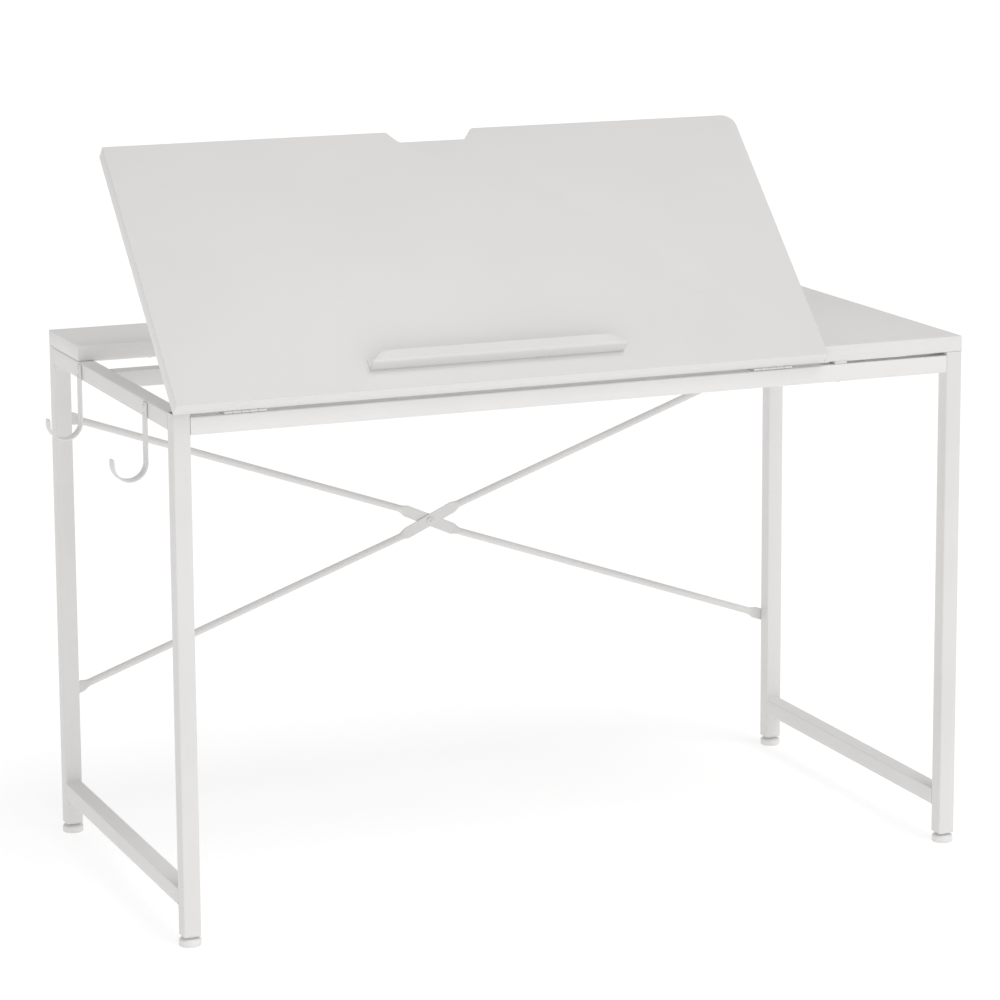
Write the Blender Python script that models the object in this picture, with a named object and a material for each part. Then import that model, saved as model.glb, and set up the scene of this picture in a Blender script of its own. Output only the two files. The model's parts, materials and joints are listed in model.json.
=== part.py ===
"""Drafting table with a tilting drawing panel on a square-tube frame.

Metres, +Z up. X runs along the desk's width, +X to the user's right; the user sits at -Y.
The origin is on the floor, under the centre of the desk. The drawing panel is modelled raised.
"""
import math

import bmesh
import bpy
from mathutils import Matrix, Vector

# ---- driving dimensions ----------------------------------------------------------------
DESK_WIDTH = 1.200
DESK_DEPTH = 0.600
DESK_HEIGHT = 0.767
BOARD = 0.023                # thickness of the top board and of the drawing panel
TUBE = 0.025                 # square frame tube
TUBE_WALL = 0.0012
TUBE_CORNER = 0.0022         # outer corner radius of the tube
FIT = 0.0003                 # gap between pieces that touch
HOLE_EASE = 0.0003           # radial room round a screw

# boards
BACK_STRIP = 0.153           # depth of the fixed top behind the drawing panel
KERF = 0.0035                # saw gap round the drawing panel
PANEL_WIDTH = 0.972
PANEL_CORNER = 0.020
NOTCH_MOUTH = 0.131
NOTCH_FLOOR = 0.1005
NOTCH_DEPTH = 0.0195
NOTCH_ROUND = 0.007
BOARD_EASE = 0.0012          # eased edges of the boards

# frame
LEG_FOOT = 0.0163            # height of the leg tube's lower end
STRETCHER_BOTTOM = 0.0545
FRONT_DROP = 0.0050          # gap between the front crossbar and the boards
MID_RAIL_FRONT = 0.0495      # y of the middle rail's front face
BRACKET_ARM = 0.030
BRACKET_THICK = 0.002
BRACKET_HEIGHT = 0.017

# drawing panel hinge
TILT_REST_DEG = 44.5
HINGE_BELOW_BOARD = 0.0023   # hinge axis below the boards' underside
HINGE_LENGTH = 0.060
HINGE_X = (-0.498, 0.292)
HINGE_LEAF = 0.020
HINGE_LEAF_THICK = 0.0010
KNUCKLE_RADIUS = 0.0020
PIN_RADIUS = 0.00085
KNUCKLES = 5

# tilt support: an arm pivoted on the panel, whose foot slides in a slotted track
ARM_LENGTH = 0.165           # equals the distance from hinge axis to arm pivot
TRACK_SLOPE_DEG = 2.0        # the slot points at the hinge axis and falls to the back
SUPPORT_SPREAD = 0.286       # track planes each side of the panel's centre
ARM_WIDTH = 0.014
ARM_THICK = 0.003
TRACK_THICK = 0.003
SLOT_WIDTH = 0.0066
TILT_MAX_DEG = 60.0
KNOB_RADIUS = 0.012

# ledge: a bent-sheet trough near the panel's lower edge
LEDGE_LEFT = -0.317
LEDGE_RIGHT = 0.062
LEDGE_START = 0.032          # from the panel's lower edge
LEDGE_FLANGE = 0.018
LEDGE_OUT = 0.0190
LEDGE_LIP = 0.0185
LEDGE_SHEET = 0.0015
LEDGE_CUT = 0.0225           # length of the curved cut at each end of the lip

# hooks
HOOK_Y = (-0.180, 0.137)
HOOK_BAND = 0.017
HOOK_THICK = 0.003
HOOK_TOP = 0.741
HOOK_RADIUS = 0.0255         # outer radius of the curl
HOOK_BOTTOM = 0.6325
HOOK_TIP = 0.665

# cross brace behind the rear legs
BRACE_CENTRE_Z = 0.425
BRACE_SLOPE = 0.354
BRACE_STEP = 0.005           # the arms stand this far off the centre
BRACE_TUBE_RADIUS = 0.0055
BRACE_FLAT_HALF = 0.0090     # half width where the tube is pressed flat
BRACE_PLATE_HALF = 0.0012    # half thickness where the tube is pressed flat
BRACE_PADDLE_HALF = 0.0365

# feet
FOOT_RADIUS = 0.0155
INSERT_FLANGE_TOP = 0.0160
INSERT_FLANGE_BOTTOM = 0.0150
STUD_RADIUS = 0.0040

# ---- derived places --------------------------------------------------------------------
HALF_W = DESK_WIDTH / 2
HALF_D = DESK_DEPTH / 2
BOARD_BOTTOM = DESK_HEIGHT - BOARD
FRAME_TOP = BOARD_BOTTOM - FIT
LEG_X = HALF_W - TUBE / 2
LEG_Y = HALF_D - TUBE / 2
INNER_X = HALF_W - TUBE
INNER_Y = HALF_D - TUBE
FRONT_BAR_TOP = BOARD_BOTTOM - FRONT_DROP
PANEL_LENGTH = DESK_DEPTH - BACK_STRIP - KERF
PANEL_LEFT = -HALF_W
PANEL_RIGHT = PANEL_LEFT + PANEL_WIDTH
PANEL_CENTRE = (PANEL_LEFT + PANEL_RIGHT) / 2
HINGE_AXIS = Vector((0.0, -HALF_D, BOARD_BOTTOM - HINGE_BELOW_BOARD))
PANEL_UNDER = HINGE_BELOW_BOARD              # in the panel's own frame
PANEL_TOP = HINGE_BELOW_BOARD + BOARD
TILT_REST = math.radians(TILT_REST_DEG)
TRACK_SLOPE = math.radians(TRACK_SLOPE_DEG)
ARM_PIVOT = Vector((0.0, ARM_LENGTH * math.cos(TRACK_SLOPE), -ARM_LENGTH * math.sin(TRACK_SLOPE)))
MID_RAIL_BACK = MID_RAIL_FRONT + TUBE

X_AXIS, Y_AXIS, Z_AXIS = Vector((1, 0, 0)), Vector((0, 1, 0)), Vector((0, 0, 1))

MATERIALS = {
    "steel_white": ((0.86, 0.86, 0.85), 0.42, 0.0),
    "melamine_white": ((0.84, 0.84, 0.83), 0.50, 0.0),
    "plastic_white": ((0.85, 0.85, 0.84), 0.38, 0.0),
    "screw_zinc": ((0.78, 0.78, 0.79), 0.32, 1.0),
    "screw_white": ((0.85, 0.85, 0.84), 0.40, 0.0),
}


# ---- general helpers -------------------------------------------------------------------
def material(name):
    found = bpy.data.materials.get(name)
    if found:
        return found
    colour, roughness, metallic = MATERIALS[name]
    made = bpy.data.materials.new(name)
    made.use_nodes = True
    shader = made.node_tree.nodes["Principled BSDF"]
    shader.inputs["Base Color"].default_value = (*colour, 1.0)
    shader.inputs["Roughness"].default_value = roughness
    shader.inputs["Metallic"].default_value = metallic
    return made


def finish(name, bm, finish_name, smooth=False):
    """Turns a bmesh into a named object with its faces pointing out."""
    bmesh.ops.recalc_face_normals(bm, faces=bm.faces)
    mesh = bpy.data.meshes.new(name)
    bm.to_mesh(mesh)
    bm.free()
    if smooth:
        mesh.shade_smooth()
        mesh.set_sharp_from_angle(angle=math.radians(40))
    mesh.materials.append(material(finish_name))
    obj = bpy.data.objects.new(name, mesh)
    bpy.context.scene.collection.objects.link(obj)
    return obj


def pivot(name, location, angle, parent=None):
    """An empty on a joint axis that runs along X."""
    empty = bpy.data.objects.new(name, None)
    bpy.context.scene.collection.objects.link(empty)
    empty.parent = parent
    empty.location = location
    empty.rotation_euler = (angle, 0.0, 0.0)
    return empty


def frame_from(origin, x_dir, y_dir):
    """A matrix whose local X and Y are the given directions."""
    x_dir, y_dir = Vector(x_dir).normalized(), Vector(y_dir).normalized()
    z_dir = x_dir.cross(y_dir)
    matrix = Matrix((x_dir, y_dir, z_dir)).transposed().to_4x4()
    matrix.translation = Vector(origin)
    return matrix


def arc(centre, radius, start_deg, end_deg, steps):
    """Points of a circular arc in a plane."""
    points = []
    for i in range(steps + 1):
        a = math.radians(start_deg + (end_deg - start_deg) * i / steps)
        points.append((centre[0] + radius * math.cos(a), centre[1] + radius * math.sin(a)))
    return points


def rounded_corners(points, radii, steps=4):
    """Replaces each corner of an outline by an arc of its own radius."""
    result = []
    count = len(points)
    for i, (corner, radius) in enumerate(zip(points, radii)):
        here = Vector(corner)
        if radius <= 0:
            result.append(tuple(here))
            continue
        back = (Vector(points[i - 1]) - here).normalized()
        ahead = (Vector(points[(i + 1) % count]) - here).normalized()
        half = back.angle(ahead) / 2
        centre = here + (back + ahead).normalized() * radius / math.sin(half)
        first = here + back * radius / math.tan(half) - centre
        last = here + ahead * radius / math.tan(half) - centre
        turn = first.angle_signed(last)
        for k in range(steps + 1):
            a = -turn * k / steps
            spun = Vector((first.x * math.cos(a) - first.y * math.sin(a),
                           first.x * math.sin(a) + first.y * math.cos(a)))
            result.append(tuple(centre + spun))
    return result


def box_outline(low, high):
    return [(low[0], low[1]), (high[0], low[1]), (high[0], high[1]), (low[0], high[1])]


def rounded_square(size, radius, steps=3):
    half = size / 2
    return rounded_corners(box_outline((-half, -half), (half, half)), [radius] * 4, steps)


def add_prism(bm, outline, length, matrix, hole=None):
    """A closed prism: the outline lies in local XY and runs 0..length along local Z."""
    def ring(points, z):
        return [bm.verts.new(matrix @ Vector((p[0], p[1], z))) for p in points]

    def skin(low, high):
        for i in range(len(low)):
            k = (i + 1) % len(low)
            bm.faces.new((low[i], low[k], high[k], high[i]))

    low, high = ring(outline, 0.0), ring(outline, length)
    skin(low, high)
    if hole is None:
        bm.faces.new(low[::-1])
        bm.faces.new(high)
        return
    hole_low, hole_high = ring(hole, 0.0), ring(hole, length)
    skin(hole_high, hole_low)
    for outer, inner in ((low[::-1], hole_low[::-1]), (high, hole_high)):
        for i in range(len(outer)):
            k = (i + 1) % len(outer)
            bm.faces.new((outer[i], outer[k], inner[k], inner[i]))


def add_lathe(bm, profile, matrix, segments=16):
    """A solid of revolution about local Z; the profile runs from axis to axis."""
    rings = []
    for radius, z in profile:
        if radius <= 1e-7:
            rings.append([bm.verts.new(matrix @ Vector((0, 0, z)))])
            continue
        rings.append([
            bm.verts.new(matrix @ Vector((radius * math.cos(2 * math.pi * i / segments),
                                          radius * math.sin(2 * math.pi * i / segments), z)))
            for i in range(segments)])
    for one, two in zip(rings, rings[1:]):
        for i in range(segments):
            k = (i + 1) % segments
            corners = [one[i % len(one)], one[k % len(one)], two[k % len(two)], two[i % len(two)]]
            unique = list(dict.fromkeys(corners))
            if len(unique) > 2:
                bm.faces.new(unique)


def add_box(bm, low, high, matrix=Matrix.Identity(4)):
    add_prism(bm, box_outline(low, high), high[2] - low[2], matrix @ Matrix.Translation((0, 0, low[2])))


def boolean(obj, bm, operation):
    """Joins or cuts an object's mesh with the bmesh, then keeps the result as its mesh."""
    bmesh.ops.recalc_face_normals(bm, faces=bm.faces)
    mesh = bpy.data.meshes.new("tool")
    bm.to_mesh(mesh)
    bm.free()
    tool = bpy.data.objects.new("tool", mesh)
    bpy.context.scene.collection.objects.link(tool)
    tool.parent = obj
    modifier = obj.modifiers.new("shape", "BOOLEAN")
    modifier.operation = operation
    modifier.object = tool
    modifier.solver = "EXACT"
    bpy.context.view_layer.update()
    evaluated = obj.evaluated_get(bpy.context.evaluated_depsgraph_get())
    shaped = bpy.data.meshes.new_from_object(evaluated)
    obj.modifiers.clear()
    old = obj.data
    obj.data = shaped
    bpy.data.meshes.remove(old)
    bpy.data.objects.remove(tool)


def ease_edges(obj, width, segments=2, angle_deg=50):
    bevel = obj.modifiers.new("eased_edges", "BEVEL")
    bevel.width = width
    bevel.segments = segments
    bevel.limit_method = "ANGLE"
    bevel.angle_limit = math.radians(angle_deg)
    bevel.use_clamp_overlap = True


def screw_place(seat, outward):
    """A frame at the screw's seat whose local Z points out of the surface."""
    outward = Vector(outward).normalized()
    across = outward.cross(X_AXIS if abs(outward.x) < 0.9 else Y_AXIS).normalized()
    return frame_from(Vector(seat) + outward * FIT, across, outward.cross(across))


def screw(name, seat, outward, sizes, pieces, finish_name="screw_zinc", parent=None):
    """A screw or bolt with a domed head on the seat; it enters each piece by its own depth."""
    head_radius, head_height, shank_radius, length = sizes
    place = screw_place(seat, outward)
    profile = [(0, -length), (shank_radius, -length), (shank_radius, 0), (head_radius, 0),
               (head_radius, head_height * 0.35), (head_radius * 0.75, head_height * 0.85), (0, head_height)]
    bm = bmesh.new()
    add_lathe(bm, profile, place, 14)
    obj = finish(name, bm, finish_name, smooth=True)
    if parent is not None:
        obj.parent = parent
    for piece, depth in pieces:
        HOLES.setdefault(piece, []).append((place, shank_radius + HOLE_EASE, depth))


HOLES = {}
HOLE_SEGMENTS = 12
HOLE_START = 0.003


def drill_holes():
    """Cuts each piece's screw holes, in the piece's own frame."""
    for name, holes in HOLES.items():
        bm = bmesh.new()
        for place, radius, depth in holes:
            add_lathe(bm, [(0, -depth), (radius, -depth), (radius, HOLE_START), (0, HOLE_START)],
                      place, HOLE_SEGMENTS)
        boolean(bpy.data.objects[name], bm, "DIFFERENCE")


# ---- frame -----------------------------------------------------------------------------
def square_tube(name, start, direction, length):
    """A hollow tube with open ends, from a start point along a world axis."""
    direction = Vector(direction)
    across = X_AXIS if abs(direction.x) < 0.5 else Y_AXIS
    bm = bmesh.new()
    inner = rounded_square(TUBE - 2 * TUBE_WALL, TUBE_CORNER - TUBE_WALL)
    place = frame_from(start, across, direction.cross(across))
    add_prism(bm, rounded_square(TUBE, TUBE_CORNER), length, place, hole=inner)
    return finish(name, bm, "steel_white", smooth=True)


def side_frames():
    top_centre = FRAME_TOP - TUBE / 2
    low_centre = STRETCHER_BOTTOM + TUBE / 2
    span = 2 * (INNER_Y - FIT)
    for side, sign in (("left", -1), ("right", 1)):
        for end, y in (("front", -LEG_Y), ("rear", LEG_Y)):
            square_tube(f"{end}_leg_{side}", (sign * LEG_X, y, LEG_FOOT), Z_AXIS, FRAME_TOP - LEG_FOOT)
        square_tube(f"top_rail_{side}", (sign * LEG_X, -span / 2, top_centre), Y_AXIS, span)
        square_tube(f"lower_stretcher_{side}", (sign * LEG_X, -span / 2, low_centre), Y_AXIS, span)


def crossbars():
    span = 2 * (INNER_X - FIT)
    rows = (("front_crossbar", -LEG_Y, FRONT_BAR_TOP - TUBE / 2),
            ("middle_rail", MID_RAIL_FRONT + TUBE / 2, FRAME_TOP - TUBE / 2),
            ("rear_crossbar", LEG_Y, FRAME_TOP - TUBE / 2))
    for name, y, z in rows:
        square_tube(name, (-span / 2, y, z), X_AXIS, span)


def corner_brackets():
    """Bent angles that tie each crossbar's end to the side rail."""
    bottom = (FRAME_TOP - TUBE + FRONT_BAR_TOP) / 2 - BRACKET_HEIGHT / 2
    arm, thick, bend = BRACKET_ARM, BRACKET_THICK, 0.003
    outline = [(0, 0), (arm, 0), (arm, thick), (thick, thick), (thick, arm), (0, arm)]
    outline = rounded_corners(outline, (bend, 0, 0, bend - thick, 0, 0), 3)
    rows = (("front", -INNER_Y + FIT, 1), ("middle", MID_RAIL_BACK + FIT, 1), ("rear", INNER_Y - FIT, -1))
    for side, sign in (("left", -1), ("right", 1)):
        for row, y, back in rows:
            x = sign * (INNER_X - FIT)
            bm = bmesh.new()
            placed = [(x - sign * p[0], y + back * p[1]) for p in outline]
            add_prism(bm, placed, BRACKET_HEIGHT, Matrix.Translation((0, 0, bottom)))
            finish(f"corner_bracket_{row}_{side}", bm, "steel_white", smooth=True)


def feet():
    """Plastic tube inserts, and the levelling feet that screw into them."""
    stud_top = 0.040
    plug = TUBE - 2 * TUBE_WALL - 2 * FIT
    for side, sign in (("left", -1), ("right", 1)):
        for end, y in (("front", -LEG_Y), ("rear", LEG_Y)):
            place = Matrix.Translation((sign * LEG_X, y, 0))
            leg_insert(f"leg_insert_{end}_{side}", place, plug, stud_top)
            r = FOOT_RADIUS
            profile = [(0, 0), (r - 0.0016, 0), (r, 0.0016), (r, 0.0088), (r - 0.0008, 0.0104),
                       (r - 0.0030, 0.0112), (0.0062, 0.0120), (0.0058, 0.0146),
                       (STUD_RADIUS, 0.0146), (STUD_RADIUS, stud_top), (0, stud_top)]
            bm = bmesh.new()
            add_lathe(bm, profile, Matrix.Identity(4), 24)
            foot = finish(f"levelling_foot_{end}_{side}", bm, "plastic_white", smooth=True)
            foot.location = place.translation


def leg_insert(name, place, plug, stud_top):
    flange = INSERT_FLANGE_TOP - INSERT_FLANGE_BOTTOM
    plug_top = stud_top + 0.004
    bore_radius = STUD_RADIUS + FIT
    bm = bmesh.new()
    steps = 4
    outer = rounded_square(TUBE, TUBE_CORNER, steps)
    inner = rounded_square(plug, TUBE_CORNER - TUBE_WALL, steps)
    low = INSERT_FLANGE_BOTTOM
    rings = [(outer, low), (outer, low + flange), (inner, low + flange), (inner, plug_top)]
    count = len(inner)
    first = -135 - steps / 2 * 360 / count
    bore = arc((0, 0), bore_radius, first, first + 360 * (count - 1) / count, count - 1)
    rings += [(bore, plug_top), (bore, low)]
    loops = [[bm.verts.new(place @ Vector((p[0], p[1], z))) for p in points] for points, z in rings]
    for one, two in zip(loops, loops[1:] + loops[:1]):
        for i in range(len(one)):
            k = (i + 1) % len(one)
            bm.faces.new((one[i], one[k], two[k], two[i]))
    finish(name, bm, "plastic_white", smooth=True)


# ---- boards ----------------------------------------------------------------------------
def fixed_top():
    """One L-shaped board: a strip along the back and a wing on the right."""
    cut_right = PANEL_RIGHT + KERF
    cut_back = HALF_D - BACK_STRIP
    outline = [(-HALF_W, cut_back), (cut_right, cut_back), (cut_right, -HALF_D), (HALF_W, -HALF_D),
               (HALF_W, HALF_D), (-HALF_W, HALF_D)]
    outline = rounded_corners(outline, (0, PANEL_CORNER + KERF, 0, 0, 0, 0), 6)
    bm = bmesh.new()
    add_prism(bm, outline, BOARD, Matrix.Translation((0, 0, BOARD_BOTTOM)))
    finish("fixed_top", bm, "melamine_white", smooth=True)
    bm = bmesh.new()
    place = Matrix.Translation((cut_right + 0.028, -LEG_Y, FRONT_BAR_TOP + FIT))
    add_prism(bm, rounded_square(0.020, 0.002), FRONT_DROP - 2 * FIT, place)
    finish("board_spacer", bm, "plastic_white")


def tilt_panel(hinge):
    """The drawing panel, in the frame of its hinge axis: x as the desk, y up the slope."""
    top = PANEL_LENGTH
    mouth, floor = NOTCH_MOUTH / 2, NOTCH_FLOOR / 2
    outline = [(PANEL_LEFT, 0), (PANEL_RIGHT, 0), (PANEL_RIGHT, top),
               (PANEL_CENTRE + mouth, top), (PANEL_CENTRE + floor, top - NOTCH_DEPTH),
               (PANEL_CENTRE - floor, top - NOTCH_DEPTH), (PANEL_CENTRE - mouth, top),
               (PANEL_LEFT, top)]
    radii = (0, 0, PANEL_CORNER, NOTCH_ROUND, NOTCH_ROUND, NOTCH_ROUND, NOTCH_ROUND, 0)
    bm = bmesh.new()
    add_prism(bm, rounded_corners(outline, radii, 5), BOARD, Matrix.Translation((0, 0, PANEL_UNDER)))
    obj = finish("tilt_panel", bm, "melamine_white", smooth=True)
    obj.parent = hinge


def ledge(hinge):
    """A trough of bent sheet: flange on the panel, shelf outwards, and a lip up the slope."""
    base = PANEL_TOP + FIT
    t, bend, heel = LEDGE_SHEET, 0.0030, 0.0018
    start, out = LEDGE_START, base + LEDGE_OUT
    profile = [(start, base), (start + LEDGE_FLANGE, base), (start + LEDGE_FLANGE, base + t),
               (start + t, base + t), (start + t, out - t), (start + LEDGE_LIP, out - t),
               (start + LEDGE_LIP, out), (start, out)]
    radii = (heel, 0, 0, heel - t, bend - t, 0, 0, bend)
    bm = bmesh.new()
    place = frame_from((LEDGE_LEFT, 0, 0), Y_AXIS, Z_AXIS)
    add_prism(bm, rounded_corners(profile, radii, 3), LEDGE_RIGHT - LEDGE_LEFT, place)
    obj = finish("pencil_ledge", bm, "steel_white", smooth=True)
    run, low, high = LEDGE_CUT, 0.0012, LEDGE_LIP
    for end, sign in ((LEDGE_LEFT, 1), (LEDGE_RIGHT, -1)):
        corner = [(-0.010, low), (0.0, low), (run, high), (run + 0.010, high + 0.0008),
                  (run + 0.010, 0.040), (-0.010, 0.040)]
        corner = rounded_corners(corner, (0, 0, 0.012, 0, 0, 0), 4)
        tool = bmesh.new()
        points = [(end + sign * p[0], start + p[1]) for p in corner]
        add_prism(tool, points, 0.010, Matrix.Translation((0, 0, out - t - 0.003)))
        boolean(obj, tool, "DIFFERENCE")
    obj.parent = hinge


# ---- panel hinges ----------------------------------------------------------------------
def hinge_leaf(name, axis, own, plate_low, plate_high, wrap):
    """One leaf about an axis point at its middle: a plate behind the barrel, and its own knuckles."""
    half, clear = HINGE_LENGTH / 2, KNUCKLE_RADIUS + 0.0005
    bm = bmesh.new()
    place = Matrix.Translation(axis)
    add_box(bm, (-half, clear, plate_low), (half, clear + HINGE_LEAF, plate_high), place)
    obj = finish(name, bm, "steel_white", smooth=True)
    pitch = HINGE_LENGTH / KNUCKLES
    barrels = bmesh.new()
    web_low = max(plate_low, -KNUCKLE_RADIUS * 0.97)
    web_high = min(plate_high, KNUCKLE_RADIUS * 0.97)
    outline = arc((0, 0), KNUCKLE_RADIUS, *wrap, 12)
    outline += [(clear + 0.001, web_low), (clear + 0.001, web_high)]
    for i in own:
        low = -half + i * pitch + (FIT if i else 0)
        high = -half + (i + 1) * pitch - (FIT if i < KNUCKLES - 1 else 0)
        add_prism(barrels, outline, high - low, place @ frame_from((low, 0, 0), Y_AXIS, Z_AXIS))
    boolean(obj, barrels, "UNION")
    bore = bmesh.new()
    start = place @ frame_from((-half - 0.002, 0, 0), Y_AXIS, Z_AXIS)
    add_prism(bore, arc((0, 0), PIN_RADIUS + FIT, 0, 330, 11), HINGE_LENGTH + 0.004, start)
    boolean(obj, bore, "DIFFERENCE")
    return obj


def hinges(hinge):
    frame_low = FRONT_BAR_TOP + FIT - HINGE_AXIS.z
    panel_high = PANEL_UNDER - FIT
    half = HINGE_LENGTH / 2
    for side, x in zip(("left", "right"), HINGE_X):
        here = HINGE_AXIS + X_AXIS * x
        hinge_leaf(f"hinge_frame_leaf_{side}", here, (0, 2, 4), frame_low,
                   frame_low + HINGE_LEAF_THICK, (-20, 270))
        leaf = hinge_leaf(f"hinge_panel_leaf_{side}", X_AXIS * x, (1, 3), panel_high - HINGE_LEAF_THICK,
                          panel_high, (90, 380))
        leaf.parent = hinge
        bm = bmesh.new()
        place = frame_from(here - X_AXIS * half, Y_AXIS, Z_AXIS)
        add_lathe(bm, [(0, 0), (PIN_RADIUS, 0), (PIN_RADIUS, 2 * half), (0, 2 * half)], place, 10)
        finish(f"hinge_pin_{side}", bm, "screw_zinc", smooth=True)


# ---- tilt support ----------------------------------------------------------------------
def foot_distance(tilt_deg):
    """Distance of the arm's foot from the hinge axis, along the slot, at a panel tilt."""
    return 2 * ARM_LENGTH * math.cos(math.radians(tilt_deg))


def support_track(side, sign):
    """A slotted plate between front crossbar and middle rail; sign points to the panel's centre."""
    name = f"support_track_{side}"
    x = PANEL_CENTRE - sign * SUPPORT_SPREAD
    front, back = -INNER_Y + FIT, MID_RAIL_FRONT - FIT
    bottom, top, flange, flange_top = 0.7195, 0.7430, 0.020, 0.7365
    bm = bmesh.new()
    add_box(bm, (x - TRACK_THICK / 2, front, bottom), (x + TRACK_THICK / 2, back, top))
    obj = finish(name, bm, "steel_white", smooth=True)
    flanges = bmesh.new()
    outer = x - sign * (flange + TRACK_THICK / 2)
    low_x, high_x = sorted((outer, x))
    for low_y, high_y in ((front, front + TRACK_THICK), (back - TRACK_THICK, back)):
        add_box(flanges, (low_x, low_y, bottom), (high_x, high_y, flange_top))
    boolean(obj, flanges, "UNION")
    margin = 0.010
    near, far = foot_distance(TILT_MAX_DEG) - margin, foot_distance(0) + margin * 0.6
    half = SLOT_WIDTH / 2
    slot = arc((far, 0), half, -90, 90, 6) + arc((near, 0), half, 90, 270, 6)
    along = Vector((0, math.cos(TRACK_SLOPE), -math.sin(TRACK_SLOPE)))
    place = frame_from(HINGE_AXIS + X_AXIS * (x - TRACK_THICK), along, X_AXIS.cross(along))
    tool = bmesh.new()
    add_prism(tool, slot, 2 * TRACK_THICK, place)
    boolean(obj, tool, "DIFFERENCE")


def support_arm(side, sign, arm_pivot):
    """A flat bar from the pivot on the panel to the foot in the slot, in the pivot's frame."""
    name = f"support_arm_{side}"
    x = PANEL_CENTRE - sign * SUPPORT_SPREAD
    near = x + sign * (TRACK_THICK / 2 + 0.001)
    half = ARM_WIDTH / 2
    outline = arc((ARM_LENGTH, 0), half, -90, 90, 8) + arc((0, 0), half, 90, 270, 8)
    low = min(near, near + sign * ARM_THICK)
    bm = bmesh.new()
    add_prism(bm, outline, ARM_THICK, frame_from((low, 0, 0), Y_AXIS, Z_AXIS))
    obj = finish(name, bm, "steel_white", smooth=True)
    nut = bmesh.new()
    nut_length = 0.006
    nut_low = min(near + sign * ARM_THICK * 0.5, near + sign * (ARM_THICK + nut_length))
    hexagon = arc((ARM_LENGTH, 0), 0.0058, 0, 300, 5)
    add_prism(nut, hexagon, nut_length + ARM_THICK * 0.5, frame_from((nut_low, 0, 0), Y_AXIS, Z_AXIS))
    boolean(obj, nut, "UNION")
    bores = bmesh.new()
    for y, radius in ((0.0, 0.0030), (ARM_LENGTH, 0.0030)):
        add_prism(bores, arc((y, 0), radius + FIT, 0, 330, 11), 0.03, frame_from((low - 0.01, 0, 0), Y_AXIS, Z_AXIS))
    boolean(obj, bores, "DIFFERENCE")
    obj.parent = arm_pivot


def pivot_bracket(side, sign, hinge):
    """An angle under the panel whose ear carries the arm's pivot bolt."""
    name = f"pivot_bracket_{side}"
    x = PANEL_CENTRE - sign * SUPPORT_SPREAD
    ear_near = x + sign * (TRACK_THICK / 2 + 0.001 + ARM_THICK + 0.001)
    ear_thick, base_thick, base_width, half = 0.0025, 0.002, 0.028, 0.018
    ear_low = ARM_PIVOT.z - 0.008
    under = PANEL_UNDER - FIT
    low, high = sorted((ear_near, ear_near + sign * base_width))
    bm = bmesh.new()
    add_box(bm, (low, ARM_PIVOT.y - half, under - base_thick), (high, ARM_PIVOT.y + half, under))
    obj = finish(name, bm, "steel_white", smooth=True)
    ear = [(ARM_PIVOT.y - half, under - base_thick / 2), (ARM_PIVOT.y - half, under - base_thick)]
    ear += arc((ARM_PIVOT.y, ARM_PIVOT.z), 0.008, 190, 350, 8)
    ear += [(ARM_PIVOT.y + half, under - base_thick), (ARM_PIVOT.y + half, under - base_thick / 2)]
    ears = bmesh.new()
    add_prism(ears, ear, ear_thick, frame_from((min(ear_near, ear_near + sign * ear_thick), 0, 0), Y_AXIS, Z_AXIS))
    boolean(obj, ears, "UNION")
    bore = bmesh.new()
    add_prism(bore, arc((ARM_PIVOT.y, ARM_PIVOT.z), 0.0030 + FIT, 0, 330, 11), 0.02,
              frame_from((ear_near - 0.01, 0, 0), Y_AXIS, Z_AXIS))
    boolean(obj, bore, "DIFFERENCE")
    obj.parent = hinge
    seat = (ear_near + sign * ear_thick, ARM_PIVOT.y, ARM_PIVOT.z)
    length = ear_thick + 0.001 + ARM_THICK + FIT
    screw(f"support_pivot_bolt_{side}", seat, X_AXIS * sign, (0.0052, 0.0038, 0.0030, length), (), parent=hinge)


def clamp_knob(side, sign, arm_pivot):
    """A lobed knob with a stud through the slot, turning about the arm's foot."""
    x = PANEL_CENTRE - sign * SUPPORT_SPREAD
    outer = x - sign * (TRACK_THICK / 2 + 0.0005)
    lobes, steps = 6, 36
    bm = bmesh.new()
    outline = []
    for i in range(steps):
        a = 2 * math.pi * i / steps
        r = KNOB_RADIUS - 0.0012 * (1 - math.cos(lobes * a)) / 2
        outline.append((r * math.cos(a), r * math.sin(a)))
    thick = 0.012
    body_low = min(outer, outer - sign * thick)
    add_prism(bm, outline, thick, frame_from((body_low, 0, 0), Y_AXIS, Z_AXIS))
    obj = finish(f"clamp_knob_{side}", bm, "plastic_white", smooth=True)
    stud = bmesh.new()
    stud_end = x + sign * (TRACK_THICK / 2 + 0.001 + ARM_THICK + 0.0055)
    stud_low, stud_high = sorted((outer - sign * 0.004, stud_end))
    add_prism(stud, arc((0, 0), 0.0026, 0, 330, 11), stud_high - stud_low,
              frame_from((stud_low, 0, 0), Y_AXIS, Z_AXIS))
    boolean(obj, stud, "UNION")
    obj.parent = arm_pivot
    obj.location = (0, ARM_LENGTH, 0)


def cross_rod(arm_pivot):
    """A rod that ties the two arms together half way along."""
    near = TRACK_THICK / 2 + 0.001 + ARM_THICK + FIT
    half = SUPPORT_SPREAD - near
    bm = bmesh.new()
    place = frame_from((PANEL_CENTRE - half, ARM_LENGTH / 2, 0), Y_AXIS, Z_AXIS)
    add_lathe(bm, [(0, 0), (0.0040, 0), (0.0040, 2 * half), (0, 2 * half)], place, 16)
    obj = finish("support_cross_rod", bm, "steel_white", smooth=True)
    obj.parent = arm_pivot


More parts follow.
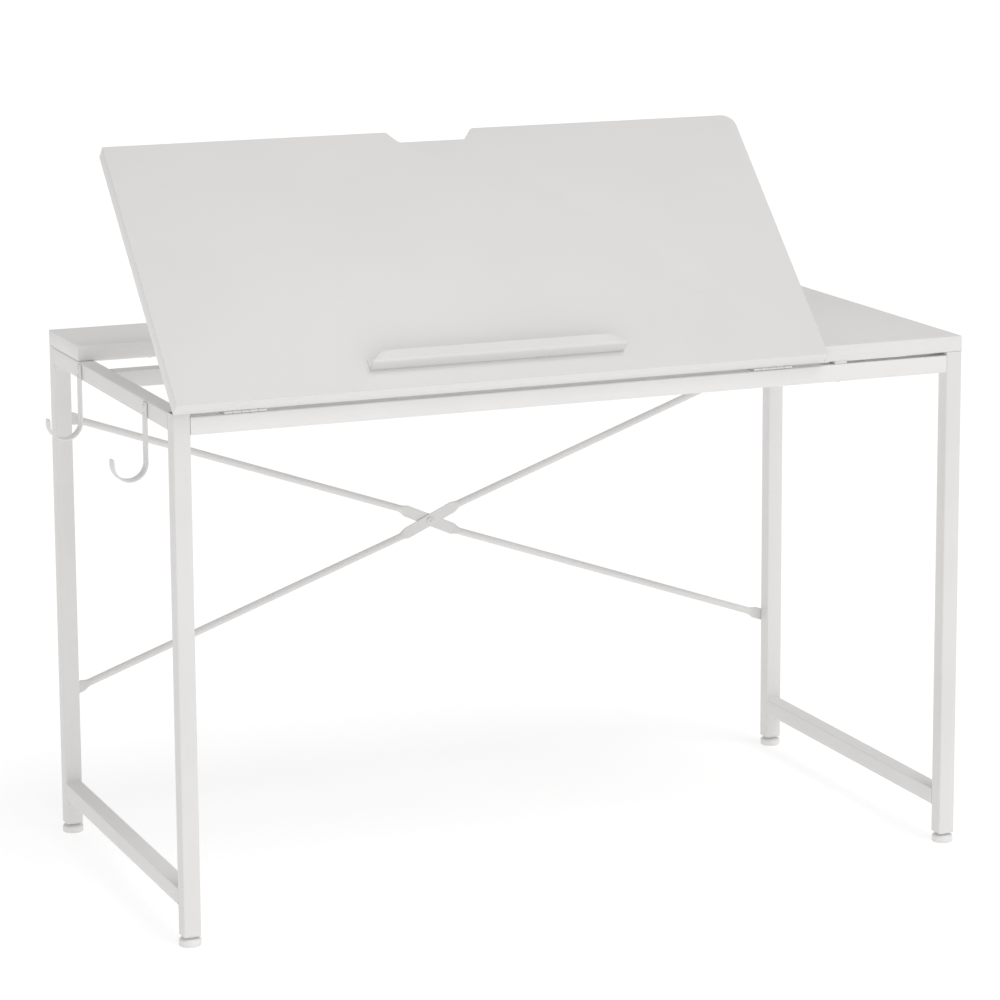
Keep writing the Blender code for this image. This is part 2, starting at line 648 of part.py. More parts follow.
# ---- hooks -----------------------------------------------------------------------------
def hooks():
    """Flat-band hooks that hang on the outside of the left top rail and curl outwards."""
    back = -HALF_W - FIT
    centre = (back - HOOK_RADIUS, HOOK_BOTTOM + HOOK_RADIUS)
    inner = HOOK_RADIUS - HOOK_THICK
    outline = [(back, HOOK_TOP)] + [(back - HOOK_THICK, HOOK_TOP)]
    outline += arc(centre, inner, 0, -180, 14)
    outline += [(centre[0] - inner, HOOK_TIP), (centre[0] - HOOK_RADIUS, HOOK_TIP)]
    outline += arc(centre, HOOK_RADIUS, -180, 0, 14)
    for end, y in zip(("front", "rear"), HOOK_Y):
        name = f"side_hook_{end}"
        bm = bmesh.new()
        place = frame_from((0, y + HOOK_BAND / 2, 0), X_AXIS, Z_AXIS)
        add_prism(bm, outline, HOOK_BAND, place)
        finish(name, bm, "steel_white", smooth=True)
        for level, z in (("upper", HOOK_TOP - 0.0050), ("lower", HOOK_TOP - 0.0165)):
            screw(f"hook_screw_{end}_{level}", (back - HOOK_THICK, y, z), -X_AXIS, (0.0030, 0.0012, 0.0015, 0.008),
                  ((name, 0.005), ("top_rail_left", 0.010)), "screw_white")


# ---- cross brace -----------------------------------------------------------------------
def brace_section(half_height, half_thick, square, count=12):
    """A tube section between round (square = 0) and pressed flat (square = 1)."""
    power = 1.0 - 0.62 * square
    points = []
    for i in range(count):
        a = 2 * math.pi * i / count
        c, s = math.cos(a), math.sin(a)
        points.append((half_height * math.copysign(abs(c) ** power, c),
                       half_thick * math.copysign(abs(s) ** power, s)))
    return points


def brace_bar(name, slope_sign, lean):
    """One tube from rear leg to rear leg, pressed flat at both ends and where the bars cross."""
    leg_reach = LEG_X
    end_y = HALF_D + FIT + BRACE_PLATE_HALF
    flat, plate, tube = BRACE_FLAT_HALF, BRACE_PLATE_HALF, BRACE_TUBE_RADIUS
    paddle = BRACE_PADDLE_HALF
    taper_end = INNER_X - 0.009
    stations = [(0.0, flat, plate, 1.0), (paddle, flat, plate, 1.0),
                (paddle + 0.003, flat * 0.92, plate * 1.4, 0.9), (paddle + 0.007, tube * 1.14, tube * 0.72, 0.4),
                (paddle + 0.011, tube, tube, 0.0), (taper_end - 0.011, tube, tube, 0.0),
                (taper_end - 0.007, tube * 1.14, tube * 0.72, 0.4), (taper_end - 0.003, flat * 0.92, plate * 1.4, 0.9),
                (taper_end, flat, plate, 1.0), (leg_reach + 0.004, flat, plate, 1.0),
                (leg_reach + 0.0075, flat * 0.83, plate, 1.0), (leg_reach + 0.0100, flat * 0.45, plate, 1.0)]
    chain = [(-x, h, t, q) for x, h, t, q in stations[:0:-1]] + stations
    bend = paddle + 0.009
    bm = bmesh.new()
    loops = []
    for x, half_height, half_thick, square in chain:
        arm_z = BRACE_STEP + BRACE_SLOPE * abs(x)
        if abs(x) < bend:
            arm_z = (BRACE_STEP + BRACE_SLOPE * bend) * abs(x) / bend
        z = BRACE_CENTRE_Z + slope_sign * math.copysign(arm_z, x)
        slope = BRACE_SLOPE if abs(x) >= bend else (BRACE_STEP + BRACE_SLOPE * bend) / bend
        direction = Vector((1, 0, slope_sign * slope)).normalized()
        normal = Y_AXIS.cross(direction)
        centre_y = end_y + lean * (1 - abs(x) / leg_reach)
        centre = Vector((x, centre_y, z))
        loops.append([bm.verts.new(centre + normal * p[0] + Y_AXIS * p[1])
                      for p in brace_section(half_height, half_thick, square)])
    for one, two in zip(loops, loops[1:]):
        for i in range(len(one)):
            k = (i + 1) % len(one)
            bm.faces.new((one[i], one[k], two[k], two[i]))
    bm.faces.new(loops[0][::-1])
    bm.faces.new(loops[-1])
    finish(name, bm, "steel_white", smooth=True)


def brace():
    plate = BRACE_PLATE_HALF
    centre_y = HALF_D + FIT + plate
    step = plate + FIT / 2
    brace_bar("brace_bar_front", 1, -step)
    brace_bar("brace_bar_rear", -1, step)
    reach = BRACE_STEP + BRACE_SLOPE * LEG_X
    for side, sign in (("left", -1), ("right", 1)):
        for bar, slope_sign in (("brace_bar_front", 1), ("brace_bar_rear", -1)):
            level = "upper" if slope_sign * sign > 0 else "lower"
            seat = (sign * LEG_X, centre_y + plate, BRACE_CENTRE_Z + slope_sign * sign * reach)
            screw(f"brace_bolt_{level}_{side}", seat, Y_AXIS, (0.0055, 0.0034, 0.0028, 0.012),
                  ((bar, 0.006), (f"rear_leg_{side}", 0.014)))
    stack = 4 * plate + FIT
    back = centre_y + step + plate
    radius, head, height = 0.0026, 0.0052, 0.0026
    bm = bmesh.new()
    place = frame_from((0, back + FIT, BRACE_CENTRE_Z), Z_AXIS, X_AXIS)
    length = stack + 2 * FIT
    profile = [(0, -length - height), (head * 0.75, -length - height * 0.85), (head, -length - height * 0.3),
               (head, -length), (radius, -length), (radius, 0), (head, 0), (head, height * 1.2), (0, height * 1.2)]
    add_lathe(bm, profile, place, 14)
    finish("brace_centre_bolt", bm, "screw_white", smooth=True)
    for bar in ("brace_bar_front", "brace_bar_rear"):
        HOLES.setdefault(bar, []).append((place, radius + HOLE_EASE, 0.012))


# ---- assembly --------------------------------------------------------------------------
def clear_scene():
    for obj in list(bpy.data.objects):
        bpy.data.objects.remove(obj)


def centre_on_floor(table):
    """Moves the table so that the origin lies under the middle of its box."""
    bpy.context.view_layer.update()
    graph = bpy.context.evaluated_depsgraph_get()
    shapes = [obj.evaluated_get(graph) for obj in bpy.data.objects if obj.type == "MESH"]
    points = [shape.matrix_world @ vertex.co for shape in shapes for vertex in shape.data.vertices]
    middle = [(min(p[i] for p in points) + max(p[i] for p in points)) / 2 for i in (0, 1)]
    table.location = (-middle[0], -middle[1], 0)


def main():
    clear_scene()
    panel_hinge = pivot("panel_hinge_axis", HINGE_AXIS, TILT_REST)
    arm_pivot = pivot("support_arm_axis", ARM_PIVOT, -2 * TILT_REST - TRACK_SLOPE, panel_hinge)
    side_frames()
    crossbars()
    corner_brackets()
    feet()
    fixed_top()
    tilt_panel(panel_hinge)
    ledge(panel_hinge)
    hinges(panel_hinge)
    for side, sign in (("left", 1), ("right", -1)):
        support_track(side, sign)
        support_arm(side, sign, arm_pivot)
        pivot_bracket(side, sign, panel_hinge)
        clamp_knob(side, sign, arm_pivot)
    cross_rod(arm_pivot)
    hooks()
    brace()
    drill_holes()
    for name in ("fixed_top", "tilt_panel"):
        ease_edges(bpy.data.objects[name], BOARD_EASE)
    table = pivot("table", (0, 0, 0), 0)
    for obj in bpy.data.objects:
        if obj.parent is None and obj != table:
            obj.parent = table
    centre_on_floor(table)


main()
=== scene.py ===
"""Looks, light and camera for the drafting table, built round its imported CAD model."""
import json
import math
from collections import namedtuple

import bmesh
import bpy
from mathutils import Matrix, Vector

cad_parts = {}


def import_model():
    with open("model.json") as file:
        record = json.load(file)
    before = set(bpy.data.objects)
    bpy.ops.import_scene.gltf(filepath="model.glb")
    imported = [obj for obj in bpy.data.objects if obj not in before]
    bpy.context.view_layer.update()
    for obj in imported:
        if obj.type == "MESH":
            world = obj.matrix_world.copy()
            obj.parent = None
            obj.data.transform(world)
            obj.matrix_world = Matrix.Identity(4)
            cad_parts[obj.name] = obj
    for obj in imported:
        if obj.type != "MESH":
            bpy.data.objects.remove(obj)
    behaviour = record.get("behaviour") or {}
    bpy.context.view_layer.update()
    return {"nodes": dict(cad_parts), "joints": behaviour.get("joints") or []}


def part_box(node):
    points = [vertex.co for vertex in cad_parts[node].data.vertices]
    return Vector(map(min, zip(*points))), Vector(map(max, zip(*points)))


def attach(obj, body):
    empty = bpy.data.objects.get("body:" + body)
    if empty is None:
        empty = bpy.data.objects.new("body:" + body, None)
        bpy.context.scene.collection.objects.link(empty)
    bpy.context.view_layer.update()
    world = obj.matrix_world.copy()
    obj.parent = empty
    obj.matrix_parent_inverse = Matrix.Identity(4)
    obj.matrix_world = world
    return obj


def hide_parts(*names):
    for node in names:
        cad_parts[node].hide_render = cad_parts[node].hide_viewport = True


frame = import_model()
NODES = frame["nodes"]

# ---- places and sizes of the model, in metres ------------------------------------------
X_AXIS, Y_AXIS, Z_AXIS = Vector((1, 0, 0)), Vector((0, 1, 0)), Vector((0, 0, 1))
TILT = math.radians(44.5)
HINGE = Vector(next(j for j in frame["joints"] if j["name"] == "tilt_hinge")["pos_m"])
TOP_LOW, TOP_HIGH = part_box("fixed_top")
CENTRE = (TOP_LOW + TOP_HIGH) / 2
BOARD = 0.023           # thickness of both boards
BACK = 0.0023           # from the hinge axis out to the panel's underside
FACE = BACK + BOARD     # and out to its drawing face
SIDE = 0.025            # side of the square tube
FIT = 0.0003            # gap that the CAD model leaves between two parts
HAIRLINE = 0.00003      # keeps two faces from lying in one plane
BAR_LINE = 0.3 - SIDE / 2       # from the desk's middle to the crossbars' centre line, in Y
RAIL_LINE = 0.6 - SIDE / 2      # and to the side rails' centre line, in X
LEDGE_START = 0.032     # from the hinge axis up the panel to the ledge's shelf
HOOK_THICK = 0.003
PANEL = Matrix.Translation((CENTRE.x, HINGE.y, HINGE.z)) @ Matrix.Rotation(TILT, 4, "X")
SIDES = (("left", -1), ("right", 1))
TUBE_WORDS = ("_leg_", "rail", "crossbar", "stretcher")


# ---- materials -------------------------------------------------------------------------
class Shader:
    """A material, and a short way to write its node tree."""

    def __init__(self, name):
        self.material = bpy.data.materials.new(name)
        self.material.use_nodes = True
        self.tree = self.material.node_tree
        self.bsdf = self.tree.nodes["Principled BSDF"]

    def node(self, kind, **settings):
        made = self.tree.nodes.new(kind)
        for key, value in settings.items():
            setattr(made, key, value)
        return made

    def plug(self, value, socket):
        """Links another node's output to the socket, or sets the socket to a constant."""
        if isinstance(value, bpy.types.NodeSocket):
            self.tree.links.new(value, socket)
        else:
            socket.default_value = value

    def math(self, operation, *values):
        made = self.node("ShaderNodeMath", operation=operation)
        for value, socket in zip(values, made.inputs):
            self.plug(value, socket)
        return made.outputs[0]

    def mix(self, factor, a, b):
        """Colour a where the factor is 0, colour b where it is 1."""
        made = self.node("ShaderNodeMix", data_type="RGBA")
        self.plug(factor, made.inputs[0])
        for value, socket in ((a, made.inputs[6]), (b, made.inputs[7])):
            self.plug((*value, 1.0) if isinstance(value, tuple) else value, socket)
        return made.outputs[2]

    def ramp(self, value, low, high):
        """0 below low, 1 above high, smooth between."""
        made = self.node("ShaderNodeMapRange", interpolation_type="SMOOTHSTEP")
        self.plug(value, made.inputs[0])
        made.inputs[1].default_value, made.inputs[2].default_value = low, high
        return made.outputs[0]

    def coordinates(self, turn=0.0, origin=(0, 0, 0)):
        """The piece's own coordinates in metres, moved to an origin and turned about X."""
        place = self.node("ShaderNodeTexCoord").outputs["Object"]
        move = self.node("ShaderNodeMapping", vector_type="TEXTURE")
        self.tree.links.new(place, move.inputs["Vector"])
        move.inputs["Location"].default_value = origin
        move.inputs["Rotation"].default_value = (turn, 0, 0)
        return move.outputs[0]

    def noise(self, vector, scale, detail, roughness=0.5, stretch=None):
        """Noise from 0 to 1; stretch scales the coordinates along each axis first."""
        if stretch:
            mapping = self.node("ShaderNodeMapping")
            self.tree.links.new(vector, mapping.inputs["Vector"])
            mapping.inputs["Scale"].default_value = stretch
            vector = mapping.outputs[0]
        made = self.node("ShaderNodeTexNoise")
        self.tree.links.new(vector, made.inputs["Vector"])
        made.inputs["Scale"].default_value = scale
        made.inputs["Detail"].default_value = detail
        made.inputs["Roughness"].default_value = roughness
        return made.outputs["Fac"]

    def bump(self, height, strength, distance, below=None):
        """A relief of a height, on top of another relief where one is given."""
        made = self.node("ShaderNodeBump")
        made.inputs["Strength"].default_value = strength
        made.inputs["Distance"].default_value = distance
        self.plug(height, made.inputs["Height"])
        if below is not None:
            self.tree.links.new(below, made.inputs["Normal"])
        return made.outputs[0]

    def finish(self, colour, roughness, normal=None, **constants):
        """Plugs the results in; a constant's name is its socket's, with _ for each space."""
        self.plug(colour, self.bsdf.inputs["Base Color"])
        self.plug(roughness, self.bsdf.inputs["Roughness"])
        if normal is not None:
            self.plug(normal, self.bsdf.inputs["Normal"])
        for key, value in constants.items():
            self.bsdf.inputs[key.replace("_", " ")].default_value = value
        return self.material


def tinted(level):
    """The table's white at a level, a little warm."""
    return (level, level * 0.985, level * 0.970)


def powder_coat(name="powder_coat_white", tone=1.0):
    """White powder coat: a fine orange peel, an uneven sheen, faint clouds and specks."""
    shader = Shader(name)
    at = shader.coordinates()
    peel = shader.noise(at, scale=620, detail=2.0, roughness=0.55)
    fine = shader.noise(at, scale=2600, detail=1.0)
    cloud = shader.noise(at, scale=9, detail=3.0)
    white = shader.mix(shader.ramp(cloud, 0.3, 0.7), tinted(0.764 * tone), tinted(0.786 * tone))
    specks = shader.math("MULTIPLY", shader.ramp(fine, 0.70, 0.80), 0.20)
    colour = shader.mix(specks, white, tinted(0.69 * tone))
    sheen = shader.math("MULTIPLY_ADD", peel, 0.14, 0.33)
    grit = shader.bump(fine, strength=0.10, distance=0.0001)
    normal = shader.bump(peel, strength=0.22, distance=0.00035, below=grit)
    return shader.finish(colour, sheen, normal, Specular_IOR_Level=0.45, IOR=1.5)


def melamine(name, turn, origin, face_low, face_high, tone):
    """White melamine board: a pressed grain on its two faces, and a lighter edge band between them."""
    face_layer = 0.0009
    shader = Shader(name)
    at = shader.coordinates(turn, origin)
    axes = shader.node("ShaderNodeSeparateXYZ")
    shader.tree.links.new(at, axes.inputs[0])
    height = axes.outputs[2]
    on_edge = shader.math("MULTIPLY", shader.math("GREATER_THAN", height, face_low + face_layer),
                          shader.math("LESS_THAN", height, face_high - face_layer))
    pores = shader.noise(at, scale=900, detail=2.0, roughness=0.6, stretch=(0.35, 1.0, 1.0))
    grain = shader.noise(at, scale=120, detail=4.0, roughness=0.6, stretch=(0.12, 1.0, 1.0))
    cloud = shader.noise(at, scale=5, detail=2.0)
    streaks = shader.noise(at, scale=60, detail=3.0, stretch=(1, 1, 4))
    # tone scales the faces but not the edge band; the two boards use it as painted light.
    face = shader.mix(shader.ramp(cloud, 0.3, 0.7), tinted(0.736 * tone), tinted(0.750 * tone))
    lines = shader.math("MULTIPLY", shader.ramp(grain, 0.52, 0.70), 0.22)
    face = shader.mix(lines, face, tinted(0.720 * tone))
    band = shader.mix(shader.ramp(streaks, 0.4, 0.6), tinted(0.800), tinted(0.812))
    colour = shader.mix(on_edge, face, band)
    sheen = shader.math("ADD", shader.math("MULTIPLY_ADD", pores, 0.12, 0.40),
                        shader.math("MULTIPLY", on_edge, -0.06))
    pressed = shader.bump(grain, strength=0.05, distance=0.0003)
    normal = shader.bump(pores, strength=0.10, distance=0.0002, below=pressed)
    return shader.finish(colour, sheen, normal, Specular_IOR_Level=0.40, IOR=1.5)


def moulded_plastic():
    """White moulded plastic: a fine grit, and faint flow marks."""
    white, shade = (0.835, 0.827, 0.817), 0.975
    shader = Shader("moulded_plastic_white")
    at = shader.coordinates()
    grit = shader.noise(at, scale=1500, detail=2.0, roughness=0.6)
    flow = shader.noise(at, scale=70, detail=2.0)
    colour = shader.mix(shader.ramp(flow, 0.35, 0.65), tuple(c * shade for c in white), white)
    sheen = shader.math("MULTIPLY_ADD", grit, 0.12, 0.30)
    normal = shader.bump(grit, strength=0.12, distance=0.00015)
    return shader.finish(colour, sheen, normal, Specular_IOR_Level=0.5, IOR=1.46)


def zinc():
    """Bright zinc plating with a soft spangle and fine tool marks."""
    shader = Shader("zinc_plated_steel")
    at = shader.coordinates()
    spangle = shader.noise(at, scale=420, detail=2.0)
    marks = shader.noise(at, scale=2400, detail=2.0, roughness=0.6)
    colour = shader.mix(shader.ramp(spangle, 0.35, 0.65), (0.66, 0.66, 0.67), (0.74, 0.74, 0.75))
    sheen = shader.math("MULTIPLY_ADD", marks, 0.18, 0.22)
    normal = shader.bump(marks, strength=0.15, distance=0.0001)
    return shader.finish(colour, sheen, normal, Metallic=1.0)


COAT, PLASTIC, ZINC = powder_coat(), moulded_plastic(), zinc()
LEDGE_COAT = powder_coat("powder_coat_ledge", tone=0.955)
# A lighter copy of the coat for the front crossbar: painted light that cancels the shadow the panel's
# overhang casts on it.
BAR_COAT_PAINTED_LIGHTER = powder_coat("powder_coat_front_bar_painted_lighter", tone=1.085)
# One melamine in two copies: the fixed top's faces are painted lighter and the panel's a little darker,
# painted light standing in for how light falls on the level top and the tilted panel.
TOP_BOARD_PAINTED_LIGHTER = melamine("melamine_fixed_top_painted_lighter", 0.0, (0, 0, TOP_LOW.z), 0.0, BOARD, tone=1.035)
PANEL_BOARD_PAINTED_DARKER = melamine("melamine_panel_painted_darker", TILT, tuple(HINGE), BACK, FACE, tone=0.985)


# ---- what is done to CAD nodes that stay -----------------------------------------------
BEND_DEG = 42   # an edge that turns more than this is sharp


def smoothing_group(name):
    """A node group that shades a mesh smooth, but for its sharp edges."""
    group = bpy.data.node_groups.new(name, "GeometryNodeTree")
    group.interface.new_socket("Geometry", in_out="INPUT", socket_type="NodeSocketGeometry")
    group.interface.new_socket("Geometry", in_out="OUTPUT", socket_type="NodeSocketGeometry")
    start, end = group.nodes.new("NodeGroupInput"), group.nodes.new("NodeGroupOutput")
    faces = group.nodes.new("GeometryNodeSetShadeSmooth")
    edges = group.nodes.new("GeometryNodeSetShadeSmooth")
    edges.domain = "EDGE"
    edges.inputs["Shade Smooth"].default_value = False
    angle = group.nodes.new("GeometryNodeInputMeshEdgeAngle")
    compare = group.nodes.new("FunctionNodeCompare")
    compare.data_type, compare.operation = "FLOAT", "GREATER_THAN"
    compare.inputs[1].default_value = math.radians(BEND_DEG)
    link = group.links.new
    link(start.outputs[0], faces.inputs["Geometry"])
    link(faces.outputs[0], edges.inputs["Geometry"])
    link(angle.outputs["Unsigned Angle"], compare.inputs[0])
    link(compare.outputs[0], edges.inputs["Selection"])
    link(edges.outputs[0], end.inputs[0])
    return group


SMOOTH = smoothing_group("smooth_by_angle")


def soften(obj, ease):
    """Shades a node's curves smooth and eases its sharp edges by a width, by modifiers alone."""
    weld = obj.modifiers.new("weld", "WELD")
    weld.merge_threshold = 1e-5
    if ease:
        bevel = obj.modifiers.new("eased", "BEVEL")
        bevel.width, bevel.segments = ease, 2
        bevel.limit_method, bevel.angle_limit = "ANGLE", math.radians(BEND_DEG)
    smooth = obj.modifiers.new("smooth", "NODES")
    smooth.node_group = SMOOTH
    if ease:
        obj.modifiers.new("weighted", "WEIGHTED_NORMAL").keep_sharp = True


def paint(obj, material):
    obj.data.materials.clear()
    obj.data.materials.append(material)


# ---- general shapes --------------------------------------------------------------------
def quarter_turn(steps):
    """Angles from 0 to 90 degrees, in radians."""
    return [math.radians(90 * i / steps) for i in range(steps + 1)]


def axes_at(origin, x_dir, y_dir):
    """A matrix at an origin whose local X and Y are the given directions."""
    x_dir, y_dir = Vector(x_dir).normalized(), Vector(y_dir).normalized()
    matrix = Matrix((x_dir, y_dir, x_dir.cross(y_dir))).transposed().to_4x4()
    matrix.translation = Vector(origin)
    return matrix


def facing(seat, outward):
    """A matrix on a seat whose local Z points along outward."""
    outward = Vector(outward).normalized()
    across = outward.cross(X_AXIS if abs(outward.x) < 0.9 else Y_AXIS).normalized()
    return axes_at(seat, across, outward.cross(across))


def middle_of(node):
    """The middle of a node's box."""
    low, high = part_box(node)
    return (low + high) / 2


def side_x(box, sign):
    """The X of a box's right face where the sign is positive, or of its left face."""
    low, high = box
    return high.x if sign > 0 else low.x


def rounded_rectangle(width, height, radius, steps):
    """An outline about the middle, with rounded corners."""
    points = []
    for quarter, (sx, sy) in enumerate(((1, 1), (-1, 1), (-1, -1), (1, -1))):
        for i in range(steps + 1):
            a = math.radians(90 * (quarter + i / steps))
            points.append((sx * (width / 2 - radius) + radius * math.cos(a),
                           sy * (height / 2 - radius) + radius * math.sin(a)))
    return points


def ring(bm, points, matrix, z):
    """An outline's points as vertices, at a height in the matrix's own axes."""
    return [bm.verts.new(matrix @ Vector((p[0], p[1], z))) for p in points]


def bridge(bm, one, two):
    """A band of faces between two rings of equal length."""
    for i in range(len(one)):
        k = (i + 1) % len(one)
        bm.faces.new((one[i], one[k], two[k], two[i]))


def loft(bm, rings, closed=False):
    """Skins a row of equal rings, with flat caps unless the row is closed on itself."""
    for one, two in zip(rings, rings[1:]):
        bridge(bm, one, two)
    if closed:
        bridge(bm, rings[-1], rings[0])
    else:
        bm.faces.new(rings[0][::-1])
        bm.faces.new(rings[-1])


def turned(bm, profile, matrix, segments):
    """A turned solid from rows of radius and height, and an outline where a row isn't round."""
    rings = []
    for radius, z, *outline in profile:
        points = []
        for i in range(segments):
            a = 2 * math.pi * i / segments
            r = radius * outline[0](a) if outline else radius
            points.append((r * math.cos(a), r * math.sin(a)))
        rings.append(ring(bm, points, matrix, z))
    loft(bm, rings)


def make(name, bm, material, body, replaces=(), sharp_deg=34):
    """Makes a named piece that rides on a body and may stand for CAD nodes."""
    bmesh.ops.recalc_face_normals(bm, faces=bm.faces)
    mesh = bpy.data.meshes.new(name)
    bm.to_mesh(mesh)
    bm.free()
    mesh.shade_smooth()
    mesh.set_sharp_from_angle(angle=math.radians(sharp_deg))
    mesh.materials.append(material)
    obj = bpy.data.objects.new(name, mesh)
    bpy.context.scene.collection.objects.link(obj)
    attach(obj, body)
    if replaces:
        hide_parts(*replaces)
    return obj


# ---- frame pieces ----------------------------------------------------------------------
def tube(name):
    """A square tube with rolled corners, closing the assembly gap at both ends."""
    wall, corner, inner_corner, lip, steps = 0.0012, 0.0022, 0.0010, 0.0003, 7
    low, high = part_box(name)
    size = high - low
    axis = max(range(3), key=lambda i: size[i])
    half = size[axis] / 2 + FIT - HAIRLINE
    along = (X_AXIS, Y_AXIS, Z_AXIS)[axis]
    across = (Y_AXIS, Z_AXIS, X_AXIS)[axis]
    place = axes_at(middle_of(name), across, along.cross(across))
    outer = rounded_rectangle(SIDE, SIDE, corner, steps)
    eased = rounded_rectangle(SIDE - 2 * lip, SIDE - 2 * lip, corner - lip, steps)
    inner = rounded_rectangle(SIDE - 2 * wall, SIDE - 2 * wall, inner_corner, steps)
    rows = ((eased, -half), (outer, -half + lip), (outer, half - lip), (eased, half),
            (inner, half), (inner, -half))
    bm = bmesh.new()
    loft(bm, [ring(bm, points, place, z) for points, z in rows], closed=True)
    # The front crossbar takes the lighter coat copy, painted light in place of the overhang's shadow.
    material = BAR_COAT_PAINTED_LIGHTER if name == "front_crossbar" else COAT
    make(name + "_tube", bm, material, "frame", (name,), 30)


def weld_bead(bm, corner, along, up):
    """A fillet of weld across a rail's end, in the corner between a leg and the rail."""
    steps, radius, half, sunk, blunt_end = 40, 0.0020, 0.0098, 0.0004, 0.15
    rings = []
    for i in range(steps + 1):
        t = i / steps
        taper = min(1.0, 6 * t, 6 * (1 - t)) ** 0.5 if 0 < t < 1 else blunt_end
        ripple = 1 + 0.07 * math.sin(1.3 * i)
        root = corner + Vector((half * (2 * t - 1), -along * sunk, -up * sunk))
        points = [root]
        for a in quarter_turn(6):
            reach = radius * taper * ripple * (0.86 + 0.14 * abs(math.cos(2 * a)))
            points.append(root + Vector((0, along * reach * math.cos(a), up * reach * math.sin(a))))
        rings.append([bm.verts.new(p) for p in points])
    loft(bm, rings)


def weld_beads():
    """Beads under the side rails' ends, and under and over the stretchers' ends."""
    bm = bmesh.new()
    for rail in ("top_rail", "lower_stretcher"):
        for side, _ in SIDES:
            low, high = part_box(f"{rail}_{side}")
            x = (low.x + high.x) / 2
            faces = [(low.z, -1)] + ([(high.z, 1)] if rail == "lower_stretcher" else [])
            for y, along in ((low.y - FIT, 1), (high.y + FIT, -1)):
                for z, up in faces:
                    weld_bead(bm, Vector((x, y, z)), along, up)
    make("weld_beads", bm, COAT, "frame", sharp_deg=60)


def brace_section(half_height, half_thick, square):
    """A tube's outline between round (square 0) and pressed flat (square 1)."""
    count, power = 28, 1.0 - 0.70 * square
    points = []
    for i in range(count):
        a = 2 * math.pi * i / count
        c, s = math.cos(a), math.sin(a)
        points.append((half_height * math.copysign(abs(c) ** power, c),
                       half_thick * math.copysign(abs(s) ** power, s)))
    return points


def brace_bar(node, rises, lean):
    """A brace tube as one smooth loft, pressed flat in the middle and at both ends.

    It rises to the right (1) or to the left (-1), and its middle leans out of line so that
    the two bars can cross.
    """
    flat, plate, radius = 0.0090, 0.0012, 0.0055    # half height and half thickness of the flats; tube
    middle_end, taper_end, bolt = 0.0375, 0.5640, 0.5875    # distances from the middle, in X
    slope, step, bend = 0.354, 0.005, 0.050     # the bar is steeper within a short bend at the middle
    press = ((0.0, flat, plate, 1), (0.0022, flat * 0.95, plate * 1.15, 0.95),
             (0.0050, flat * 0.80, plate * 1.9, 0.75), (0.0075, radius * 1.14, plate * 3.1, 0.45),
             (0.0100, radius * 1.02, radius * 0.90, 0.15), (0.0130, radius, radius, 0))
    rows = [(x, flat, plate, 1) for x in (0.0, 0.012, 0.030)]
    rows += [(middle_end + x, *section) for x, *section in press]
    rows += [(x, radius, radius, 0) for x in (0.20, 0.38)]
    rows += [(taper_end - x, *section) for x, *section in reversed(press)]
    end = bolt + 0.003
    rows.append((end, flat, plate, 1))
    for a in (math.radians(degrees) for degrees in (30, 50, 68, 82)):
        rows.append((end + (flat - 0.0020) * math.sin(a), flat * math.cos(a), plate, 1))
    mirrored = [(-x, *section) for x, *section in rows[:0:-1]]

    z_middle = middle_of(node).z
    rear_face = CENTRE.y + BAR_LINE + SIDE / 2 + FIT + plate
    steep = (step + slope * bend) / bend
    rings = []
    bm = bmesh.new()
    for x, half_height, half_thick, square in mirrored + rows:
        far = abs(x)
        rise = steep * far if far < bend else step + slope * far
        direction = Vector((1, 0, rises * (steep if far < bend - 0.003 else slope))).normalized()
        upward = Y_AXIS.cross(direction)
        centre = Vector((CENTRE.x + x, rear_face + lean * (1 - far / bolt),
                         z_middle + rises * math.copysign(rise, x)))
        rings.append([bm.verts.new(centre + upward * p[0] + Y_AXIS * p[1])
                      for p in brace_section(half_height, half_thick, square)])
    loft(bm, rings)
    make(node + "_pressed_tube", bm, COAT, "frame", (node,), 50)


def hook(node):
    """A flat band bent to a J, with rounded long edges and rounded ends."""
    width, edge_radius, bend_radius, short_arm = 0.017, 0.0011, 0.0255, 0.007
    rounding = ((0.0, 0.80), (0.0005, 0.90), (0.0014, 0.97), (0.0030, 1.0))  # from the end; width
    low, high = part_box(node)
    y = (low.y + high.y) / 2
    mid_radius = bend_radius - HOOK_THICK / 2
    centre = Vector((high.x - bend_radius, y, low.z + bend_radius))
    upright = [*rounding, *((down, 1.0) for down in (0.02, 0.04, high.z - centre.z))]
    path = [(Vector((high.x - HOOK_THICK / 2, y, high.z - down)), -X_AXIS, share)
            for down, share in upright]
    for i in range(1, 41):
        a = math.radians(-180 * i / 40)
        out = Vector((math.cos(a), 0, math.sin(a)))
        path.append((centre + out * mid_radius, -out, 1.0))
    tip = [(short_arm / 2, 1.0), *((short_arm - down, share) for down, share in reversed(rounding))]
    path += [(centre + Vector((-mid_radius, 0, up)), X_AXIS, share) for up, share in tip]
    section = rounded_rectangle(width, HOOK_THICK, edge_radius, 4)
    bm = bmesh.new()
    loft(bm, [[bm.verts.new(point + inward * p[1] + Y_AXIS * p[0] * share) for p in section]
              for point, inward, share in path])
    make(node + "_band", bm, COAT, "frame", (node,), 50)


